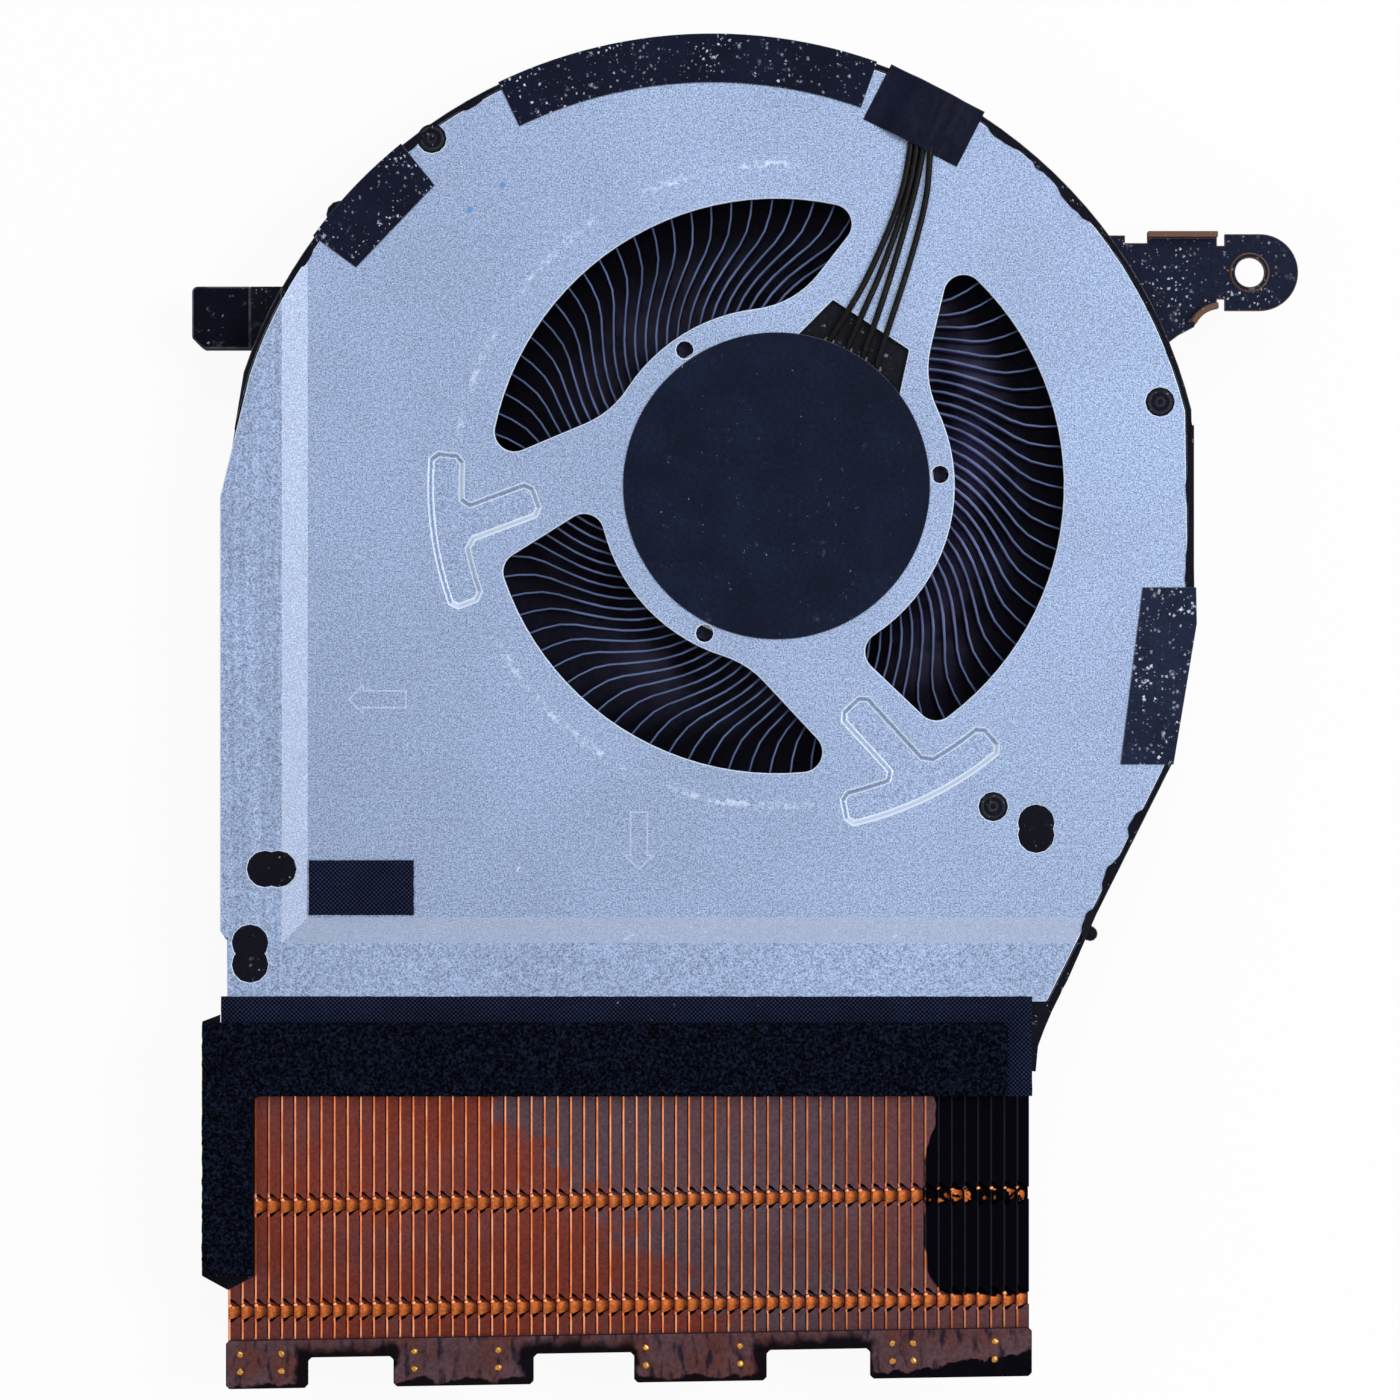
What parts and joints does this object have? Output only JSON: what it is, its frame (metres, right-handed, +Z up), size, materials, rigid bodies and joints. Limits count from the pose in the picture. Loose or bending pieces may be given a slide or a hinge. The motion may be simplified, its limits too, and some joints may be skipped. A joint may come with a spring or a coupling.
{
  "type": "laptop blower fan with heatsink fins",
  "caption": "Flat centrifugal laptop blower with a pressed metal top plate, bladed rotor, taped wire lead, mounting arm and a folded copper fin stack across its outlet.",
  "frame": {"origin": "middle of the underside's bounding box, without the lead", "axes": "+Z up out of the motor plate, +Y away from the fins, +X towards the mounting arm"},
  "size_m": [0.0952, 0.1162, 0.0121],
  "materials": {
    "plate_metal": "pressed sheet, satin",
    "frame_plastic": "moulded, satin",
    "cover_metal": "plain sheet",
    "arm_metal": "black coating, worn at the edges",
    "bumper_rubber": "matt",
    "label_film": "printed film, scuffed",
    "board_resin": "solder mask",
    "bearing_metal": "turned",
    "pad_plastic": "plain",
    "core_steel": "stamped sheets",
    "coil_copper": "enamelled wire",
    "wire_sleeve": "smooth",
    "plug_plastic": "moulded",
    "tape_black": "dusty film",
    "cloth": "woven",
    "foam_black": "open cell",
    "film_black": "film",
    "fin_copper": "folded sheet, tarnished",
    "strip_copper": "tarnished",
    "solder_gold": "bright",
    "impeller_plastic": "moulded, satin",
    "magnet_ferrite": "bonded",
    "rotor_steel": "drawn"
  },
  "bodies": {
    "housing": {"motor_plate": "plate_metal", "side_frame": "frame_plastic", "floor_cover": "cover_metal", "mounting_arm": "arm_metal", "rubber_bumper": "bumper_rubber", "hub_label": "label_film", "motor_board": "board_resin", "bearing_holder": "bearing_metal", "bearing_bush": "bearing_metal", "thrust_pad": "pad_plastic", "stator_core": "core_steel", "stator_coils": "coil_copper", "lead_wire_1": "wire_sleeve", "lead_wire_2": "wire_sleeve", "lead_wire_3": "wire_sleeve", "lead_wire_4": "wire_sleeve", "lead_plug": "plug_plastic", "wire_tape": "tape_black", "rim_tape_top": "tape_black", "rim_tape_left": "tape_black", "rim_tape_right": "tape_black", "cloth_patch": "cloth", "outlet_tape": "cloth", "foam_gasket": "foam_black", "side_film": "film_black", "heat_fins": "fin_copper", "fin_plate": "strip_copper", "solder_beads": "solder_gold"},
    "rotor": {"impeller": "impeller_plastic", "rotor_yoke": "rotor_steel", "rotor_magnet": "magnet_ferrite", "rotor_shaft": "rotor_steel"}
  },
  "joints": [
    {"name": "rotor_spin", "type": "hinge", "parent": "housing", "child": "rotor", "pos_m": [0.00274, 0.01928, 0.005], "axis": [0, 0, 1], "continuous": true}
  ]
}
